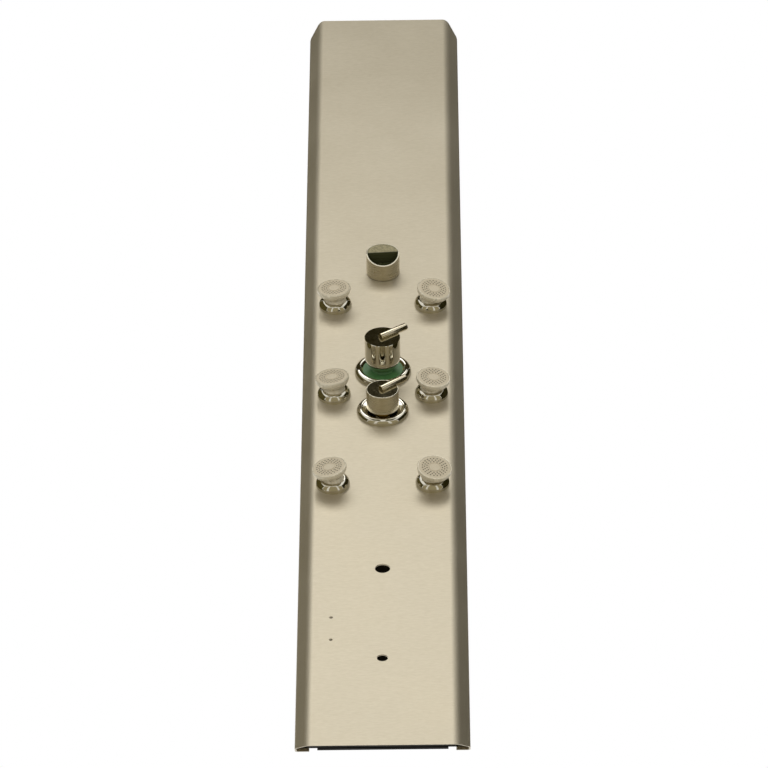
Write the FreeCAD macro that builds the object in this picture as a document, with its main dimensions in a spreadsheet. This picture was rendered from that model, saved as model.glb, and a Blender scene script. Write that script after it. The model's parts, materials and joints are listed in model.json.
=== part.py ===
import FreeCAD, Part
import os
import re

import Sketcher

# Shower panel column: a folded sheet front that hangs on two wall brackets, with a mixer, a diverter,
# a top knob and six swivelling body jets. Millimetres, Z up. The wall is the plane y = 0 and the
# panel faces -Y. The origin is the middle of the four wall screws.

sizes = {
    # panel shell
    "panel_length": 1600,
    "panel_width": 200,
    "face_width": 172,  # between the two front bends
    "flank_depth": 18.6,
    "shell_depth": 40,
    "wall_gap": 6,  # from the wall to the shell's rear edge
    "sheet_gauge": 2,
    "lip_width": 16,
    "front_bend": 12,  # outer radii of the folds
    "side_bend": 8,
    "lip_bend": 4,
    "mitre_slope": 1,  # setback of the cut ends for each millimetre of depth
    # fits
    "running_gap": 0.05,
    "fitting_gap": 0.1,
    "clear_gap": 0.3,
    "hole_gap": 0.4,
    "overrun": 1,  # how far a cut runs past the face that it opens
    "swivel_gap": 0.25,
    # bare holes in the face
    "hose_hole_radius": 9.1,
    "hose_hole_z": -462.5,
    "spare_hole_radius": 6.55,
    "spare_hole_z": -637,
    "fixing_hole_radius": 2.25,
    "fixing_hole_x": -60,
    "fixing_hole_z": -579.5,
    "fixing_hole_spacing": 43,
    # rails, brackets and their screws
    "rail_height": 60,
    "rail_gauge": 2,
    "rail_flange": 12,
    "rail_inset": 9,
    "rivet_radius": 2,
    "rivet_head_radius": 3.5,
    "rivet_head_height": 1,
    "rivet_tail_radius": 3,
    "rivet_tail": 1.5,
    "rivet_spacing": 40,
    "bracket_width": 150,
    "bracket_height": 50,
    "bracket_gauge": 2.5,
    "wall_screw_spacing": 120,
    "wall_screw_radius": 3.25,
    "tongue_width": 20,
    "tongue_play": 2,
    "tongue_spacing": 70,
    "tongue_rise": 10.5,  # from the bracket's middle to the tongue's bearing face
    "hook_rise": 7.5,
    "window_height": 16.5,
    "standoff_screw_radius": 2.5,
    "standoff_screw_length": 11.5,
    "standoff_screw_spacing": 136,
    "standoff_screw_drop": 18,
    "standoff_socket_radius": 1.3,
    "standoff_socket_depth": 3,
    # valves, common
    "gasket_thickness": 1.5,
    "flange_thickness": 3,
    "ring_nut_height": 4,
    "ring_nut_width": 5,
    "vertical_line_depth": 18,  # pipe axes behind the front face
    "feed_line_depth": 30,
    "pipe_radius": 6,
    "pipe_bore": 4.8,
    "pipe_socket_depth": 8,
    "port_radius": 9,
    "port_bore": 4.5,
    "nipple_boss_radius": 12,
    "nipple_boss_reach": 20,
    "inlet_thread_radius": 10.48,  # a half-inch pipe thread
    "inlet_thread_length": 14,
    "inlet_bore": 7,
    "grub_radius": 1.5,
    "grub_length": 6,
    # mixer
    "mixer_z": -52,
    "mixer_neck_radius": 22,
    "mixer_neck_rise": 3,
    "mixer_body_depth": 30,
    "mixer_port_reach": 30,
    "mixer_flange_radius": 27,
    "mixer_inlet_x": 25,
    "mixer_inlet_depth": 20,
    "mixer_inlet_radius": 12,
    "mixer_inlet_reach": 22,
    "union_spigot_radius": 9,
    "union_spigot_length": 8,
    "union_bore": 6,
    "union_hex_radius": 12.8,
    "union_hex_height": 7,
    "cartridge_radius": 17.5,
    "cartridge_depth": 24,
    "cartridge_shoulder": 1,
    "cartridge_neck_radius": 11,
    "cartridge_neck_rise": 8,
    "cartridge_nut_rise": 3.5,
    "sleeve_radius": 9.25,
    "sleeve_depth": 3.7,
    "sleeve_rise": 8.5,
    "sleeve_edge": 1,
    "slot_depth": 1.5,
    "pivot_rise": 5,
    "pivot_pin_radius": 1.5,
    "spindle_width": 8,
    "spindle_rise": 45,
    "mixer_tilt_travel": 16,
    "mixer_lever_angle": 37,  # of the lever above level, seen from the front
    "mixer_knob_radius": 22,
    "mixer_knob_front": 53,
    "mixer_knob_shoulder": 28,
    "mixer_knob_foot": 10.5,
    "mixer_knob_foot_radius": 16,
    "mixer_knob_round": 24,
    "mixer_knob_web": 38,
    "mixer_hub_radius": 8.5,
    "mixer_hub_foot": 20,
    "mixer_grub_rise": 42,
    "mixer_rosette_radius": 35,
    "mixer_rosette_height": 8,
    "mixer_rosette_crest": 30,
    "mixer_dish_radius": 25.3,
    "rosette_wall": 1.6,
    "rosette_edge": 2,
    "rosette_roll": 3,
    "rosette_outer_round": 6,
    "rosette_inner_round": 3.2,
    "dish_height": 5,
    "dish_edge": 0.7,
    "seal_thickness": 1,
    "seal_collar_wall": 2.4,
    # handles, common
    "knob_wall": 2.5,
    "disc_thickness": 3.4,
    "disc_sink": 0.2,
    "rim_width": 1.1,
    "rim_chamfer": 0.5,
    "lever_radius": 4.5,
    "lever_length": 39.6,
    "lever_overlap": 2.9,  # how far the lever passes the knob's axis
    "lever_rise": 1,  # of the lever's axis over the disc
    "lever_chamfer": 0.6,
    # diverter and top valve
    "diverter_z": -138,
    "diverter_body_radius": 17,
    "diverter_body_depth": 39.5,
    "diverter_port_reach": 26,
    "valve_neck_radius": 13,
    "valve_neck_rise": 6,
    "valve_bore": 9,
    "valve_bore_depth": 34,
    "valve_flange_radius": 19,
    "stem_radius": 4,
    "stem_square": 5.6,
    "gland_head_radius": 11,
    "gland_head_height": 3,
    "gland_depth": 1.7,
    "diverter_stem_square_rise": 12,
    "diverter_stem_rise": 28.5,
    "diverter_lever_angle": 40,
    "diverter_knob_radius": 20,
    "diverter_knob_front": 34,
    "diverter_knob_foot": 9.2,
    "diverter_knob_web": 24,
    "diverter_hub_radius": 7.5,
    "diverter_hub_foot": 12.5,
    "diverter_grub_rise": 27,
    "diverter_rosette_radius": 32,
    "diverter_rosette_height": 7.5,
    "diverter_rosette_crest": 27.5,
    "diverter_dish_radius": 13.5,
    "top_valve_z": 174,
    "top_valve_body_depth": 36,
    "top_valve_port_reach": 24,
    "top_neck_rise": 4.5,
    "top_gland_head_height": 2.5,
    "top_stem_square_rise": 7.5,
    "top_stem_rise": 13.7,
    "top_knob_radius": 21,
    "top_knob_front": 30,
    "top_knob_foot": 0.6,
    "top_knob_back": 9.5,
    "top_knob_floor": 14.5,
    "top_knob_wall": 1.7,
    "top_hub_radius": 7.5,
    "top_hub_foot": 8,
    "top_grub_rise": 12,
    "top_plate_thickness": 1.5,
    "top_chord_lip": 1,
    "top_scoop_drop": 8,
    "top_chord_tilt": 4,
    # body jets
    "jet_edge_inset": 26,  # of a jet's axis from the front bend
    "jet_upper_z": 98,
    "jet_middle_z": -101,
    "jet_lower_z": -291,
    "ball_height": 3,  # of the ball's centre over the face
    "ball_radius": 15.5,
    "socket_opening": 7.5,  # heights over the ball's centre
    "socket_step": -7,
    "jet_flange_radius": 20.5,
    "jet_flange_edge": 1.5,
    "jet_flange_crown": 14.9,
    "jet_flange_round": 9,
    "jet_barrel_radius": 18.2,
    "jet_barrel_end": -14,
    "jet_barrel_floor": -19.5,
    "jet_tail_radius": 9,
    "nipple_radius": 5.9,
    "nipple_bore": 4.2,
    "nipple_end": -27.8,
    "seat_ring_wall": 1.6,
    "seat_ring_low": 25,  # degrees round the ball from its back
    "seat_ring_high": 50,
    "jet_neck_radius": 10,
    "bell_foot": 12.6,
    "bell_foot_radius": 15,
    "bell_shoulder": 20.5,
    "bell_radius": 21,
    "bell_round": 12,
    "bell_front": 24,
    "bell_chamfer": 0.7,
    "nozzle_radius": 19.5,
    "nozzle_seat": 21.4,
    "nozzle_rise": 24.2,
    "chamber_radius": 16.5,
    "chamber_wall": 1.9,
    "chamber_foot": 15.5,
    "spray_hole_radius": 0.7,
    "inner_spray_circle": 9.5,
    "middle_spray_circle": 12.8,
    "outer_spray_circle": 16.1,
    "inner_spray_count": 12,
    "middle_spray_count": 16,
    "outer_spray_count": 20,
    "jet_gasket_thickness": 1.2,
    "jet_nut_apothem": 20.5,
    "jet_nut_height": 6,
    # rest attitude of each jet head: pan to the right, tilt downwards
    "upper_left_pan": -3.4,
    "upper_left_tilt": -2.4,
    "upper_right_pan": 11,
    "upper_right_tilt": 6,
    "middle_left_pan": -5.7,
    "middle_left_tilt": -5,
    "middle_right_pan": 6.3,
    "middle_right_tilt": 2.8,
    "lower_left_pan": -10,
    "lower_left_tilt": 0,
    "lower_right_pan": 7,
    "lower_right_tilt": 7.8,
    # jet manifolds
    "manifold_radius": 8,
    "manifold_bore": 6.2,
    "manifold_overrun": 20,
    "branch_radius": 8.5,
    "branch_depth": 18,  # of the branch's mouth behind the face
    "branch_socket_depth": 7.2,
    "feed_socket_reach": 14,
}

doc = FreeCAD.newDocument("ShowerPanelColumn")
sheet = doc.addObject("Spreadsheet::Sheet", "Sizes")
for row, (name, number) in enumerate(sizes.items(), start=1):
    sheet.set(f"A{row}", name)
    sheet.set(f"B{row}", str(number))
    sheet.setAlias(f"B{row}", name)
doc.recompute()

vector = FreeCAD.Vector
math_words = {"sin", "cos", "tan", "atan", "sqrt", "deg"}
across_x = vector(1, 0, 0)
across_y = vector(0, 1, 0)
across_z = vector(0, 0, 1)
facing = FreeCAD.Rotation(across_x, 90)  # a fitting's own Z, turned to point out of the panel
ways = {
    "+X": FreeCAD.Rotation(across_y, 90),
    "-X": FreeCAD.Rotation(across_y, -90),
    "+Y": FreeCAD.Rotation(across_x, -90),
    "-Y": facing,
    "+Z": FreeCAD.Rotation(),
    "-Z": FreeCAD.Rotation(across_x, 180),
}
nodes = []


def bound(text):
    """The expression with each word bound to its cell in the sheet."""
    return re.sub(r"[a-z][a-z_]*", lambda word: ("" if word[0] in math_words else "Sizes.") + word[0], text)


def value(text):
    result = sheet.evalExpression(bound(text))
    return float(getattr(result, "Value", result))


def node(label, piece):
    piece.Label = label
    nodes.append(piece)
    return piece


def proud(height):
    """World Y of a height over the panel's front face."""
    return f"-(wall_gap + shell_depth) - ({height})"


def place(piece, x, y, z, rotation):
    piece.Placement = FreeCAD.Placement(vector(), rotation)
    for axis, text in zip("xyz", (x, y, z)):
        piece.setExpression(f"Placement.Base.{axis}", bound(text))
    return piece


# --- sketches and bodies ---


def new_body(label):
    body = doc.addObject("PartDesign::Body", label)
    body.Label = label
    doc.recompute()
    return body


def sketch_on(body, role, offset="0"):
    sketch = body.newObject("Sketcher::SketchObject", "Sketch")
    plane = next(item for item in body.Origin.OriginFeatures if item.Role == role)
    sketch.AttachmentSupport = [(plane, "")]
    sketch.MapMode = "FlatFace"
    sketch.setExpression("AttachmentOffset.Base.z", bound(offset))
    return sketch


def pin_down(sketch, kind, text, *where):
    number = sketch.addConstraint(Sketcher.Constraint(kind, *where, value(text)))
    sketch.setExpression(f"Constraints[{number}]", bound(text))


def outline(sketch, corners, arcs=None):
    """A closed outline through corners. arcs gives a side's radius and the hand that its centre lies on."""
    arcs = arcs or {}
    spots = [vector(value(x), value(y), 0) for x, y in corners]
    first_side = sketch.GeometryCount
    ends = []
    for side, start in enumerate(spots):
        stop = spots[(side + 1) % len(spots)]
        if side not in arcs:
            sketch.addGeometry(Part.LineSegment(start, stop), False)
            ends.append((1, 2))
            continue
        radius, hand = arcs[side]
        chord = stop - start
        left = across_z.cross(chord).normalize() * (1 if hand == "left" else -1)
        reach = (value(radius) ** 2 - (chord.Length / 2) ** 2) ** 0.5
        centre = (start + stop) * 0.5 + left * reach
        top = centre - left * value(radius)
        sketch.addGeometry(Part.Arc(start, top, stop), False)
        ends.append((1, 2) if hand == "left" else (2, 1))
    for side, (opening, closing) in enumerate(ends):
        following = (side + 1) % len(spots)
        here = first_side + side
        there = first_side + following
        sketch.addConstraint(Sketcher.Constraint("Coincident", here, closing, there, ends[following][0]))
        pin_down(sketch, "DistanceX", corners[side][0], -1, 1, here, opening)
        pin_down(sketch, "DistanceY", corners[side][1], -1, 1, here, opening)
        if side in arcs:
            pin_down(sketch, "Radius", arcs[side][0], here)


def ring(sketch, x, y, radius):
    centre = vector(value(x), value(y), 0)
    number = sketch.addGeometry(Part.Circle(centre, across_z, value(radius)), False)
    pin_down(sketch, "DistanceX", x, -1, 1, number, 3)
    pin_down(sketch, "DistanceY", y, -1, 1, number, 3)
    pin_down(sketch, "Radius", radius, number)


def turned(label, corners, arcs=None):
    """A body turned about its own Z from corners given as radius and height."""
    body = new_body(label)
    sketch = sketch_on(body, "XZ_Plane")
    outline(sketch, corners, arcs)
    revolution = body.newObject("PartDesign::Revolution", "Revolution")
    revolution.Profile = sketch
    revolution.ReferenceAxis = (sketch, ["V_Axis"])
    revolution.Angle = 360
    doc.recompute()
    return node(label, body)


def pocket(body, sketch, side="One side", onward=False, length=None):
    """Cuts the sketch out of the body, through all unless a length is given."""
    before = body.Shape.Volume
    cut = body.newObject("PartDesign::Pocket", "Pocket")
    cut.Profile = sketch
    cut.Type = "Length" if length else "ThroughAll"
    cut.SideType = side
    cut.Reversed = onward
    if length:
        cut.setExpression("Length", bound(length))
    doc.recompute()
    if not body.Shape.Volume < before:
        raise RuntimeError(f"a pocket in {body.Label} cuts nothing")
    return cut


def round_uprights(body, spots, radius):
    """Rounds the edges that run along Z through the given corners."""
    base = body.Tip
    points = [(value(x), value(y)) for x, y in spots]
    chosen = []
    for number, edge in enumerate(base.Shape.Edges, start=1):
        start = edge.Vertexes[0].Point
        stop = edge.Vertexes[-1].Point
        upright = abs(start.x - stop.x) + abs(start.y - stop.y) < 1e-6
        if upright and any(abs(start.x - x) + abs(start.y - y) < 1e-4 for x, y in points):
            chosen.append(f"Edge{number}")
    fillet = body.newObject("PartDesign::Fillet", "Fillet")
    fillet.Base = (base, chosen)
    fillet.setExpression("Radius", bound(radius))
    doc.recompute()


# --- plain solids and what is made of them ---


def solid(kind, dimensions, x, y, z, way="+Z"):
    piece = doc.addObject("Part::" + kind, kind)
    for key, text in dimensions.items():
        piece.setExpression(key, bound(text))
    return place(piece, x, y, z, ways[way])


def rod(radius, length, x, y, z, way):
    return solid("Cylinder", {"Radius": radius, "Height": length}, x, y, z, way)


def box(width, depth, height, x, y, z):
    """A box whose given point is the middle of its width and its lowest y and z."""
    return solid("Box", {"Length": width, "Width": depth, "Height": height}, f"({x}) - ({width}) / 2", y, z)


def hexagon(radius, height, x, y, z, way):
    piece = solid("Prism", {"Circumradius": radius, "Height": height}, x, y, z, way)
    piece.Polygon = 6
    return piece


def joined(pieces):
    fusion = doc.addObject("Part::MultiFuse", "Fusion")
    fusion.Shapes = pieces
    return fusion


def less(base, tools):
    cut = doc.addObject("Part::Cut", "Cut")
    cut.Base = base
    cut.Tool = joined(tools) if len(tools) > 1 else tools[0]
    return cut


def group(label, pieces):
    compound = doc.addObject("Part::Compound", label)
    compound.Links = pieces
    return node(label, compound)


def tube(outer, inner, length, x, y, z, way):
    return less(rod(outer, length, x, y, z, way), [rod(inner, length, x, y, z, way)])


# --- panel shell ---

rear = "-wall_gap"
front = "-(wall_gap + shell_depth)"
flank_lean = "atan(flank_depth / (panel_width / 2 - face_width / 2))"
side_corner = f"{front} + flank_depth"
jet_x = "(face_width / 2 - jet_edge_inset)"


def front_panel():
    body = new_body("front_panel")
    section = sketch_on(body, "XY_Plane")
    outer = [
        ("panel_width / 2 - lip_width", rear),
        ("panel_width / 2", rear),
        ("panel_width / 2", side_corner),
        ("face_width / 2", front),
    ]
    inner = [
        (f"face_width / 2 - sheet_gauge * tan({flank_lean} / 2)", f"{front} + sheet_gauge"),
        ("panel_width / 2 - sheet_gauge", f"{side_corner} + sheet_gauge * tan((90 deg - {flank_lean}) / 2)"),
        ("panel_width / 2 - sheet_gauge", f"{rear} - sheet_gauge"),
        ("panel_width / 2 - lip_width", f"{rear} - sheet_gauge"),
    ]
    mirrored = [(f"-({x})", y) for x, y in outer + inner]
    outline(section, outer + mirrored[3::-1] + mirrored[:3:-1] + inner)
    pad = body.newObject("PartDesign::Pad", "Pad")
    pad.Profile = section
    pad.SideType = "Symmetric"
    pad.setExpression("Length", bound("panel_length"))
    doc.recompute()
    folds = zip(outer[1:] + inner[:3], ("lip", "side", "front", "front", "side", "lip"))
    for number, ((x, y), fold) in enumerate(folds):
        inside = " - sheet_gauge" if number > 2 else ""
        round_uprights(body, [(x, y), (f"-({x})", y)], f"{fold}_bend{inside}")
    for end in ("panel_length / 2", "-panel_length / 2"):
        back_in = f"({end}) * (1 - 2 * shell_depth * mitre_slope / panel_length)"
        beyond = f"({end}) * 1.1"
        mitre = sketch_on(body, "YZ_Plane")
        outline(mitre, [
            (front, end),
            (rear, back_in),
            ("0", back_in),
            ("0", beyond),
            (f"{front} - hole_gap", beyond),
        ])
        pocket(body, mitre, "Symmetric")
    holes = sketch_on(body, "XZ_Plane")
    ring(holes, "0", "mixer_z", "mixer_neck_radius + hole_gap")
    ring(holes, "0", "diverter_z", "valve_neck_radius + hole_gap")
    ring(holes, "0", "top_valve_z", "valve_neck_radius + hole_gap")
    ring(holes, "0", "hose_hole_z", "hose_hole_radius")
    ring(holes, "0", "spare_hole_z", "spare_hole_radius")
    for sign in ("-", "+"):
        ring(holes, "fixing_hole_x", f"fixing_hole_z {sign} fixing_hole_spacing / 2", "fixing_hole_radius")
        for height in ("jet_upper_z", "jet_middle_z", "jet_lower_z"):
            ring(holes, f"{sign}{jet_x}", height, "jet_barrel_radius + hole_gap")
    pocket(body, holes, onward=True)
    rivet_holes = sketch_on(body, "XZ_Plane")
    for x, z in rivet_spots():
        ring(rivet_holes, x, z, "rivet_radius")
    pocket(body, rivet_holes, "Symmetric", length="2 * (wall_gap + sheet_gauge * 2)")
    node("front_panel", body)


# --- rails, brackets and their screws ---

rail_middle = "(panel_length / 2 - shell_depth * mitre_slope - rail_inset - rail_height / 2 + rail_gauge * 2)"
rail_front = "-(wall_gap + sheet_gauge + rail_gauge)"
rail_width = "2 * (panel_width / 2 - lip_bend - clear_gap)"
rivet_x = "panel_width / 2 - lip_width / 2 - clear_gap * 3"


def rivet_spots():
    heights = [f"{end}{rail_middle} {step} rivet_spacing / 2" for end in "+-" for step in "+-"]
    return [(f"{side}({rivet_x})", height) for side in "+-" for height in heights]


def back_rail(label, end):
    middle = f"{end}{rail_middle}"
    bottom = f"{middle} - rail_height / 2"
    plate = box(rail_width, "rail_gauge", "rail_height", "0", rail_front, bottom)
    flange = box(rail_width, "rail_flange", "rail_gauge", "0", f"{rail_front} + rail_gauge - rail_flange",
                 f"{middle} + rail_height / 2 - rail_gauge")
    tools = []
    for side in "+-":
        tools.append(box("tongue_width + tongue_play", "rail_gauge * 3", "window_height",
                         f"{side}tongue_spacing / 2", f"{rail_front} - rail_gauge",
                         f"{middle} + tongue_rise - window_height"))
        tools.append(rod("standoff_screw_radius + running_gap", "rail_gauge * 3",
                         f"{side}standoff_screw_spacing / 2", f"{rail_front} - rail_gauge",
                         f"{middle} - standoff_screw_drop", "+Y"))
        for step in "+-":
            tools.append(rod("rivet_radius", "rail_gauge * 3", f"{side}({rivet_x})",
                             f"{rail_front} - rail_gauge", f"{middle} {step} rivet_spacing / 2", "+Y"))
    node(label, less(joined([plate, flange]), tools))


def wall_bracket(label, end):
    middle = f"{end}{rail_middle}"
    lip_front = f"{rail_front} - clear_gap - bracket_gauge"
    pieces = [box("bracket_width", "bracket_gauge", "bracket_height", "0", "-bracket_gauge",
                  f"{middle} - bracket_height / 2")]
    tools = []
    for side in "+-":
        across = f"{side}tongue_spacing / 2"
        pieces.append(box("tongue_width", f"-({lip_front})", "bracket_gauge", across, lip_front,
                          f"{middle} + tongue_rise - bracket_gauge"))
        pieces.append(box("tongue_width", "bracket_gauge", "bracket_gauge + hook_rise", across, lip_front,
                          f"{middle} + tongue_rise - bracket_gauge"))
        tools.append(rod("wall_screw_radius", "bracket_gauge * 2", f"{side}wall_screw_spacing / 2",
                         "-bracket_gauge * 1.5", middle, "+Y"))
    node(label, less(joined(pieces), tools))


def rail_rivets():
    rivets = []
    for x, z in rivet_spots():
        rivets.append(joined([
            rod("rivet_radius", "sheet_gauge + rail_gauge", x, rear, z, "-Y"),
            rod("rivet_head_radius", "rivet_head_height", x, rear, z, "+Y"),
            rod("rivet_tail_radius", "rivet_tail", x, rail_front, z, "-Y"),
        ]))
    group("rail_rivets", rivets)


def standoff_screws():
    screws = []
    for end in "+-":
        for side in "+-":
            x = f"{side}standoff_screw_spacing / 2"
            z = f"{end}{rail_middle} - standoff_screw_drop"
            tip = "-bracket_gauge - standoff_screw_length"
            shank = rod("standoff_screw_radius", "standoff_screw_length", x, "-bracket_gauge", z, "-Y")
            socket = hexagon("standoff_socket_radius", "standoff_socket_depth + overrun", x,
                             f"{tip} - overrun", z, "+Y")
            screws.append(less(shank, [socket]))
    group("standoff_screws", screws)


# --- valve bodies ---


def pipe_port(z, reach, direction, depth_line="vertical_line_depth"):
    """A port boss with its pipe socket and water way, from a valve's axis along Z."""
    y = proud(f"-{depth_line}")
    boss = rod("port_radius", reach, "0", y, z, direction + "Z")
    mouth = f"{z} {direction} ({reach} - pipe_socket_depth)"
    socket = rod("pipe_radius + running_gap", "pipe_socket_depth + overrun", "0", y, mouth, direction + "Z")
    way = rod("port_bore", reach, "0", y, z, direction + "Z")
    return boss, [socket, way]


def threaded_port(z, reach, direction):
    """A male half-inch nipple along Z."""
    y = proud("-vertical_line_depth")
    boss = rod("nipple_boss_radius", reach, "0", y, z, direction + "Z")
    thread = rod("inlet_thread_radius", f"{reach} + inlet_thread_length", "0", y, z, direction + "Z")
    way = rod("inlet_bore", f"{reach} + inlet_thread_length + overrun", "0", y, z, direction + "Z")
    return [boss, thread], way


def behind_gasket(radius, z):
    """The flange that clamps a valve body to the panel from behind."""
    back = "-sheet_gauge - gasket_thickness"
    return rod(radius, "flange_thickness", "0", proud(f"{back} - flange_thickness"), z, "-Y")


def mixer_body():
    back = proud("-mixer_body_depth")
    cup = rod("mixer_neck_radius", "mixer_body_depth + mixer_neck_rise", "0", back, "mixer_z", "-Y")
    lower, lower_tools = pipe_port("mixer_z", "mixer_port_reach", "-")
    upper, upper_tools = pipe_port("mixer_z", "mixer_port_reach", "+")
    pieces = [cup, behind_gasket("mixer_flange_radius", "mixer_z"), lower, upper]
    bore_depth = "cartridge_depth + fitting_gap"
    tools = [rod("cartridge_radius + fitting_gap", f"{bore_depth} + mixer_neck_rise + overrun", "0",
                 proud(f"-({bore_depth})"), "mixer_z", "-Y")]
    tools += lower_tools + upper_tools
    for side in "+-":
        x = f"{side}mixer_inlet_x"
        y = proud("-mixer_inlet_depth")
        pieces.append(rod("mixer_inlet_radius", "mixer_inlet_reach", x, y, "mixer_z", "-Z"))
        tools.append(rod("union_spigot_radius + fitting_gap", "union_spigot_length + overrun", x, y,
                         "mixer_z - mixer_inlet_reach + union_spigot_length", "-Z"))
        tools.append(rod("inlet_bore", "mixer_inlet_reach", x, y, "mixer_z", "-Z"))
        tools.append(rod("port_bore", "mixer_inlet_x", x, y, "mixer_z", ("-" if side == "+" else "+") + "X"))
    node("mixer_body", less(joined(pieces), tools))


def inlet_unions():
    unions = []
    for side in "+-":
        x = f"{side}mixer_inlet_x"
        y = proud("-mixer_inlet_depth")
        mouth = "mixer_z - mixer_inlet_reach"
        hexed = hexagon("union_hex_radius", "union_hex_height", x, y, mouth, "-Z")
        hexed.Placement.Rotation = FreeCAD.Rotation(across_z, 30) * ways["-Z"]
        spigot = rod("union_spigot_radius", "union_spigot_length", x, y, mouth, "+Z")
        thread = rod("inlet_thread_radius", "union_hex_height + inlet_thread_length", x, y, mouth, "-Z")
        length = "union_hex_height + inlet_thread_length + union_spigot_length + 2 * overrun"
        way = rod("union_bore", length, x, y, f"{mouth} + union_spigot_length + overrun", "-Z")
        unions.append(less(joined([hexed, spigot, thread]), [way]))
    group("inlet_unions", unions)


def plug_valve_body(label, z, depth, neck_rise, ports, tools):
    """A body with one bore for a turning plug, a neck through the panel and the given ports."""
    back = proud(f"-{depth}")
    barrel = rod("diverter_body_radius", f"{depth} - sheet_gauge - gasket_thickness", "0", back, z, "-Y")
    neck = rod("valve_neck_radius", f"{depth} + {neck_rise}", "0", back, z, "-Y")
    bore = rod("valve_bore", f"valve_bore_depth + {neck_rise} + overrun", "0", proud("-valve_bore_depth"),
               z, "-Y")
    pieces = [barrel, neck, behind_gasket("valve_flange_radius", z)] + ports
    node(label, less(joined(pieces), [bore] + tools))


def diverter_body():
    upper, tools = pipe_port("diverter_z", "diverter_port_reach", "+")
    ports = [upper]
    lower, lower_way = threaded_port("diverter_z", "nipple_boss_reach", "-")
    ports += lower
    tools.append(lower_way)
    y = proud("-feed_line_depth")
    for side in "+-":
        way = side + "X"
        mouth = f"{side}(diverter_port_reach - pipe_socket_depth)"
        ports.append(rod("port_radius", "diverter_port_reach", "0", y, "diverter_z", way))
        tools.append(rod("pipe_radius + running_gap", "pipe_socket_depth + overrun", mouth, y,
                         "diverter_z", way))
        tools.append(rod("port_bore", "diverter_port_reach", "0", y, "diverter_z", way))
    plug_valve_body("diverter_body", "diverter_z", "diverter_body_depth", "valve_neck_rise", ports, tools)


def top_valve_body():
    lower, tools = pipe_port("top_valve_z", "top_valve_port_reach", "-")
    upper, upper_way = threaded_port("top_valve_z", "nipple_boss_reach", "+")
    plug_valve_body("top_valve_body", "top_valve_z", "top_valve_body_depth", "top_neck_rise",
                    [lower] + upper, tools + [upper_way])


def valve_ring_nuts():
    nuts = []
    for z, radius in (("mixer_z", "mixer_neck_radius"), ("diverter_z", "valve_neck_radius"),
                      ("top_valve_z", "valve_neck_radius")):
        nuts.append(tube(f"{radius} + ring_nut_width", f"{radius} + fitting_gap", "ring_nut_height",
                         "0", front, z, "-Y"))
    group("valve_ring_nuts", nuts)


def panel_gaskets():
    inner_face = proud("-sheet_gauge")
    gaskets = []
    for z, inner, outer in (("mixer_z", "mixer_neck_radius", "mixer_flange_radius"),
                            ("diverter_z", "valve_neck_radius", "valve_flange_radius"),
                            ("top_valve_z", "valve_neck_radius", "valve_flange_radius")):
        gaskets.append(tube(outer, f"{inner} + fitting_gap", "gasket_thickness", "0", inner_face, z, "+Y"))
    for name, x, z in jet_places:
        gaskets.append(tube("jet_nut_apothem - clear_gap", "jet_barrel_radius + fitting_gap",
                            "jet_gasket_thickness", x, inner_face, z, "+Y"))
    group("panel_gaskets", gaskets)


# --- mixer cartridge and handle ---


def on_panel(body, z, lean="0"):
    """Stands a fitting on the panel's centre line, turned about its own axis by lean degrees."""
    return place(body, "0", front, z, facing * FreeCAD.Rotation(across_z, value(lean)))


def mixer_cartridge():
    bore = "sleeve_radius + running_gap"
    floor = "-sleeve_depth - clear_gap"
    body = turned("mixer_cartridge", [
        ("0", "-cartridge_depth"),
        ("cartridge_radius", "-cartridge_depth"),
        ("cartridge_radius", "-cartridge_shoulder"),
        ("cartridge_neck_radius", "-cartridge_shoulder"),
        ("cartridge_neck_radius", "cartridge_neck_rise"),
        (bore, "cartridge_neck_rise"),
        (bore, floor),
        ("0", floor),
    ])
    on_panel(body, "mixer_z")
    nut = turned("mixer_cartridge_nut", [
        ("cartridge_neck_radius + clear_gap", "-cartridge_shoulder"),
        ("cartridge_radius", "-cartridge_shoulder"),
        ("cartridge_radius", "cartridge_nut_rise"),
        ("cartridge_neck_radius + clear_gap", "cartridge_nut_rise"),
    ])
    on_panel(nut, "mixer_z")


def rosette(label, z, size, crest_height, crest, dish, nut_radius):
    """A pressed chrome rosette: rounded rim, crest and a dished middle over the ring nut."""
    underside = "dish_height - dish_edge"
    body = turned(label, [
        (f"{size} - rosette_wall", "0"),
        (size, "0"),
        (size, "rosette_edge"),
        (crest, crest_height),
        (f"{crest} - rosette_roll", f"{crest_height} - rosette_wall / 2"),
        (dish, "dish_height"),
        (dish, underside),
        (f"{nut_radius} + ring_nut_width + clear_gap * 2", underside),
        (crest, f"{crest_height} - rosette_wall"),
        (f"{size} - rosette_wall", "rosette_edge"),
    ], {2: ("rosette_outer_round", "left"), 3: ("rosette_inner_round", "left")})
    on_panel(body, z)


def mixer_seal_ring():
    foot = "dish_height - dish_edge"
    inner = "cartridge_neck_radius + clear_gap"
    body = turned("mixer_seal_ring", [
        (inner, foot),
        ("mixer_dish_radius - clear_gap", foot),
        ("mixer_dish_radius - clear_gap", f"{foot} + seal_thickness"),
        (f"{inner} + seal_collar_wall", f"{foot} + seal_thickness"),
        (f"{inner} + seal_collar_wall / 2", "cartridge_neck_rise"),
        (inner, "cartridge_neck_rise"),
    ])
    on_panel(body, "mixer_z")


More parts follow.
